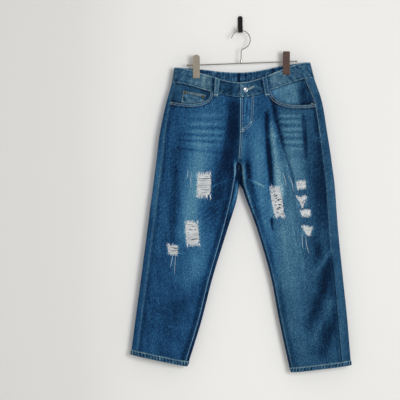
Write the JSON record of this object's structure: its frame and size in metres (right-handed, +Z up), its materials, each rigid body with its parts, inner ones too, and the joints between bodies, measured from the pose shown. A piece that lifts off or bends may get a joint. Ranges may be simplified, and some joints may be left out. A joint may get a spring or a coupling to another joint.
{
  "type": "ripped jeans on a clip hanger and wall hook",
  "caption": "Cropped straight-leg denim trousers with worn-through rips, held by the waistband on a wire clip hanger that hangs from a small flat wall hook.",
  "frame": {"origin": "fixing point of the wall hook, on the centre line of its flat back face, which lies on the wall", "axes": "+X to the wearer's left, +Y into the wall along the outward normal of the hook's back face, +Z up"},
  "size_m": [0.6677, 0.055, 1.0722],
  "materials": {
    "denim": "washed blue denim, faded on the thighs",
    "denim_band": "washed blue denim, paler and greener",
    "denim_facing": "washed blue denim",
    "hem": "washed blue denim, roped and faded at the edge",
    "rip_thread": "loose white weft threads",
    "button_metal": "satin silver",
    "rivet_metal": "aged copper brown",
    "hanger_wire": "polished wire",
    "rod_cap_brass": "dull brass tint",
    "rod_cap_grey": "grey",
    "clip_taupe": "satin taupe",
    "clip_brown": "satin brown",
    "wall_hook": "matte black"
  },
  "bodies": {
    "root": {"front_right": "denim", "front_left": "denim", "back_right": "denim", "back_left": "denim", "yoke_right": "denim", "yoke_left": "denim", "back_pocket_right": "denim", "back_pocket_left": "denim", "waistband": "denim_band", "belt_loop_front_right": "denim_band", "belt_loop_front_left": "denim_band", "belt_loop_back_right": "denim_band", "belt_loop_back_left": "denim_band", "belt_loop_back_centre": "denim_band", "pocket_facing_right": "denim_facing", "pocket_facing_left": "denim_facing", "coin_pocket": "denim_facing", "hem_right": "hem", "hem_left": "hem", "rip_threads_right_thigh": "rip_thread", "rip_threads_right_knee": "rip_thread", "rip_threads_right_knee_side": "rip_thread", "rip_threads_left_thigh": "rip_thread", "rip_threads_left_upper": "rip_thread", "rip_threads_left_middle": "rip_thread", "rip_threads_left_lower": "rip_thread", "rip_threads_left_knee": "rip_thread", "fly_button": "button_metal", "coin_rivet_outer": "rivet_metal", "coin_rivet_inner": "rivet_metal", "hanger_hook": "hanger_wire", "hook_ferrule": "hanger_wire", "hanger_rod": "hanger_wire", "rod_cap_right": "rod_cap_brass", "rod_cap_left": "rod_cap_grey", "clip_right_sleeve": "hanger_wire", "clip_right_front": "clip_taupe", "clip_right_back": "clip_taupe", "clip_left_sleeve": "hanger_wire", "clip_left_front": "clip_brown", "clip_left_back": "clip_brown", "wall_hook": "wall_hook"}
  },
  "joints": []
}
